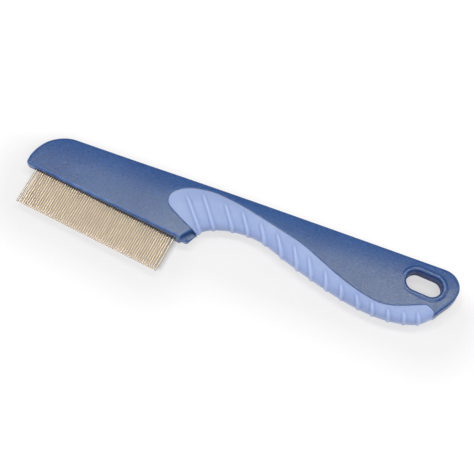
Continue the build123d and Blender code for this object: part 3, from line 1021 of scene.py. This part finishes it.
def grip_rubber():
    """Pale blue rubber with a little dust, painted shade on its rolled lower side and in the
    creases, and painted highlights on the rib tops.
    """
    m = Mat("grip_rubber_looks")
    grain = m.noise(scale=3.2, detail=3.0, rough=0.6)
    drift = m.noise(scale=0.06, seed=4.0)
    base = m.mix(m.span(drift, within=(0.35, 0.65)), srgb(129, 146, 185), srgb(136, 153, 191))
    shade = m.mix(m.span(grain, within=(0.30, 0.70)),
                  first=(0.94, 0.945, 0.955, 1), second=(1.05, 1.045, 1.04, 1))
    colour = m.mix(1.0, base, shade, "MULTIPLY")
    dust = m.times(m.patches(scale=0.22, detail=5.0, rough=0.65, seed=9.0,
                             within=(0.52, 0.72)), 0.10)
    colour = m.mix(dust, colour, srgb(186, 190, 204))
    rough = m.plus(m.patches(scale=1.1, detail=3.0, rough=0.6, seed=2.0,
                             within=(0.3, 0.7), to=(0.46, 0.56)), 0.0)
    # painted shade: the rolled lower side a deeper blue and the creases darker; painted highlight:
    # the rib tops lighter
    rise = m.painted("rib_rise")
    colour = m.mix(m.times(m.painted("low_side_shade"), 0.25), colour, srgb(128, 145, 196))
    # painted shade in the creases at the rib feet
    colour = m.mix(m.span(rise, within=(-0.02, -0.26), to=(0.0, 0.35)),
                   colour, srgb(104, 120, 172))
    # painted highlight on the rib tops
    colour = m.mix(m.span(rise, within=(0.30, 0.90), to=(0.0, 0.72)),
                   colour, srgb(156, 173, 212))
    return m.set(Base_Color=colour, Roughness=rough,
                 Normal=m.bump(grain, distance=0.03, strength=0.5),
                 IOR=1.45, Specular_IOR_Level=0.38, Sheen_Weight=0.25, Sheen_Roughness=0.45,
                 Subsurface_Weight=0.12, Subsurface_Radius=(0.9, 1.0, 1.6),
                 Subsurface_Scale=0.0006)


def steel(name, tint, turn, spot_scale):
    """Steel with drawn streaks, fine spots and a dull film in patches."""
    m = Mat(name)
    streak = m.noise(scale=1.0, detail=4.0, rough=0.7, stretch=(9.0, 0.35, 9.0), turn=turn)
    spots = m.noise(scale=spot_scale, detail=3.0, rough=0.6, seed=6.0)
    colour = m.mix(m.span(streak, within=(0.3, 0.7)), darker(tint, factor=0.72), tint)
    film = m.times(m.patches(scale=0.25, detail=4.0, rough=0.6, seed=7.0,
                             within=(0.45, 0.7)), 0.25)
    colour = m.mix(film, colour, darker(tint, factor=0.60))
    rough = m.plus(m.span(streak, within=(0.3, 0.7), to=(0.32, 0.46)),
                   m.span(spots, within=(0.3, 0.7), to=(-0.03, 0.05)))
    normal = m.bump(streak, distance=0.012, strength=0.5)
    normal = m.bump(spots, distance=0.006, strength=0.4, after=normal)
    return m.set(Base_Color=colour, Metallic=1.0, Roughness=rough, Normal=normal)


CENTRE = (-77.35, -6.9)       # middle of the comb, and origin of the floor's coordinates
# painted shadow: the floor's glow is lowest next to the comb
FLOOR_NEAR = 0.615            # glow of the floor next to the comb
# Bars that stand for the comb: centre x, y, half length, clockwise turn in degrees, half width
FLOOR_BARS = ((2.35, -1.0, 80.0, 2.1, 13.0), (-57.0, -10.0, 24.0, 7.0, 16.0))


def stage_looks():
    """Pale paper that fades to plain white away from the comb, in the camera's view only: it glows
    for the camera, with a painted shadow round the comb and painted shade under the pins and
    through the slot.
    """
    m = Mat("stage_paper")
    seen = m.node("LightPath").outputs["Is Camera Ray"]
    noise = m.noise(scale=0.8, detail=4.0, rough=0.6)
    # light bouncing off the paper sees the lit colour; the camera sees a dark colour raised by the
    # glow
    lit = m.mix(m.span(noise, within=(0.3, 0.7)),
                first=(0.78, 0.78, 0.78, 1), second=(0.80, 0.80, 0.80, 1))
    shown = m.mix(m.span(noise, within=(0.3, 0.7)),
                  first=(0.195, 0.191, 0.193, 1), second=(0.205, 0.201, 0.203, 1))
    colour = m.mix(seen, lit, shown)

    # distance outside each bar, and how far behind the long one
    aways, behind = [], []
    for x, y, half, turn, wide in FLOOR_BARS:
        here = m.xyz(m.mapped("TEXTURE", place=(x, y, 0), turn=math.radians(-turn)))
        aways.append(m.minus(m.from_bar(here[0], here[1], half), wide))
        behind.append(here[1])
    far = m.node("Math")
    far.operation = "SMOOTH_MIN"
    for socket, value in zip(far.inputs, (*aways, 14.0)):
        m.put(socket, value)
    far = far.outputs[0]
    # painted shadow: the glow rises from its low level beside the comb to white far from it
    glow = m.plus(m.span(far, within=(2.0, 26.0), to=(FLOOR_NEAR, FLOOR_NEAR + 0.17)),
                  m.span(far, within=(30.0, 300.0), to=(0.0, 0.7)))
    # painted light: a little more glow behind the comb lightens its cast shadow there
    glow = m.plus(glow, m.span(behind[0], within=(8.0, 18.0), to=(0.0, 0.08)))

    # the comb's own shade on the paper, under the pins and through the slot
    row_place = (float(ROW[0]) - CENTRE[0], float(ROW[1]) - CENTRE[1], 0)
    here = m.xyz(m.mapped("TEXTURE", place=row_place, turn=ROW_ANGLE))
    pins = m.times(m.span(m.math("ABSOLUTE", here[0]), within=(34.0, 31.5)),
                   m.span(here[1], within=(-14.6, -12.4)))
    pins = m.times(pins, m.span(here[1], within=(6.0, 3.0)))
    from_slot = m.node("VectorMath")
    from_slot.operation = "DISTANCE"
    m.link(m.coords, from_slot.inputs[0])
    from_slot.inputs[1].default_value = (-CENTRE[0], -CENTRE[1], 0)
    hole = m.span(from_slot.outputs["Value"], within=(11.0, 9.0))
    shade = m.plus(m.times(pins, 0.62), m.times(hole, 0.16))
    glow = m.times(m.times(glow, m.minus(1.0, shade)), seen)
    return m.set(Base_Color=colour, Roughness=0.9,
                 Normal=m.bump(noise, distance=0.01, strength=0.3),
                 Emission_Color=(1, 0.995, 1.0, 1), Emission_Strength=glow)


def dress(obj, material):
    obj.data.materials.clear()
    obj.data.materials.append(material)


dress(body, body_plastic())
dress(grip, grip_rubber())
dress(nodes["comb_pins"],
      steel("pin_steel_looks", tint=srgb(205, 187, 161), turn=-ROW_ANGLE, spot_scale=5.0))
# painted shade: the guard pins get a darker, greyer copy of the pin steel
shaded_guard_steel = steel("guard_steel_looks", tint=srgb(188, 178, 160), turn=-ROW_ANGLE,
                    spot_scale=4.0)
for name in ("guard_pin_nose", "guard_pin_heel"):
    dress(nodes[name], shaded_guard_steel)
dress(nodes["pin_strip"],
      steel("strip_steel_looks", tint=srgb(190, 184, 176), turn=math.pi / 2, spot_scale=3.0))


# ---------------------------------------------------------------------------
# Floor, light and camera, metres
# ---------------------------------------------------------------------------
FLOOR_Z = -4.9 * MM
CAMERA_AT = (-13.09 * MM, -176.07 * MM, 497.19 * MM)
VIEW_RIGHT = Vector((0.93483, 0.35511, 0.0))
VIEW_UP = Vector((-0.33370, 0.87845, 0.34202))
VIEW_OUT = Vector((0.12146, -0.31973, 0.93969))      # from the comb towards the camera
VIEW_AWAY = Vector((-VIEW_RIGHT.y, VIEW_RIGHT.x, 0.0))   # along the floor, into the picture
centre = Vector((*CENTRE, 0.0)) * MM

bpy.ops.mesh.primitive_grid_add(x_subdivisions=8, y_subdivisions=8, size=12.0,
                                location=(centre.x, centre.y, FLOOR_Z))
floor = bpy.context.object
floor.name = "floor"
dress(floor, stage_looks())


def soft_light(name, side, height, back, size, watts, tint=(1, 1, 1)):
    """Area light aimed at the comb, placed from it along the view's right, the floor normal
    and the way into the picture."""
    place = centre + VIEW_RIGHT * side + Vector((0, 0, height)) + VIEW_AWAY * back
    data = bpy.data.lights.new(name, "AREA")
    data.shape = "RECTANGLE"
    data.size, data.size_y = size
    data.energy = watts
    data.color = tint
    light = bpy.data.objects.new(name, data)
    bpy.context.scene.collection.objects.link(light)
    light.location = place
    light.rotation_euler = (centre - place).to_track_quat("-Z", "Y").to_euler()


WARM = (1.0, 0.985, 0.95)
soft_light("top_box_head", side=-0.085, height=0.62, back=0.195, size=(0.14, 0.12),
           watts=1.32, tint=WARM)
soft_light("top_box_handle", side=0.185, height=0.62, back=0.145, size=(0.10, 0.12),
           watts=1.15, tint=WARM)
soft_light("key_left", side=-0.62, height=0.30, back=0.06, size=(0.30, 0.30), watts=1.5)
soft_light("key_right", side=0.62, height=0.30, back=0.00, size=(0.30, 0.30), watts=1.0)
soft_light("front_fill", side=0.05, height=0.75, back=-0.50, size=(0.5, 0.4), watts=3.95)


def set_background(node, colour, strength):
    node.inputs["Color"].default_value = colour
    node.inputs["Strength"].default_value = strength


world = bpy.data.worlds.new("studio")
bpy.context.scene.world = world
world.use_nodes = True
tree = world.node_tree
room = tree.nodes["Background"]
set_background(room, colour=(0.96, 0.975, 1.0, 1.0), strength=0.31)
sweep = tree.nodes.new("ShaderNodeBackground")      # seen beyond the floor, lights nothing
set_background(sweep, colour=(1.0, 1.0, 1.0, 1.0), strength=1.05)
ray = tree.nodes.new("ShaderNodeLightPath")
pick = tree.nodes.new("ShaderNodeMixShader")
tree.links.new(ray.outputs["Is Camera Ray"], pick.inputs[0])
tree.links.new(room.outputs[0], pick.inputs[1])
tree.links.new(sweep.outputs[0], pick.inputs[2])
tree.links.new(pick.outputs[0], tree.nodes["World Output"].inputs[0])

camera_data = bpy.data.cameras.new("photo_view")
camera_data.sensor_width = 36.0
camera_data.sensor_height = 36.0
camera_data.sensor_fit = "HORIZONTAL"
camera_data.lens = 98.73
camera_data.clip_start = 0.01
camera = bpy.data.objects.new("photo_view", camera_data)
bpy.context.scene.collection.objects.link(camera)
camera.matrix_world = Matrix((
    *zip(VIEW_RIGHT, VIEW_UP, VIEW_OUT, CAMERA_AT),
    (0, 0, 0, 1)))
bpy.context.scene.camera = camera
bpy.context.scene.view_settings.view_transform = "Standard"
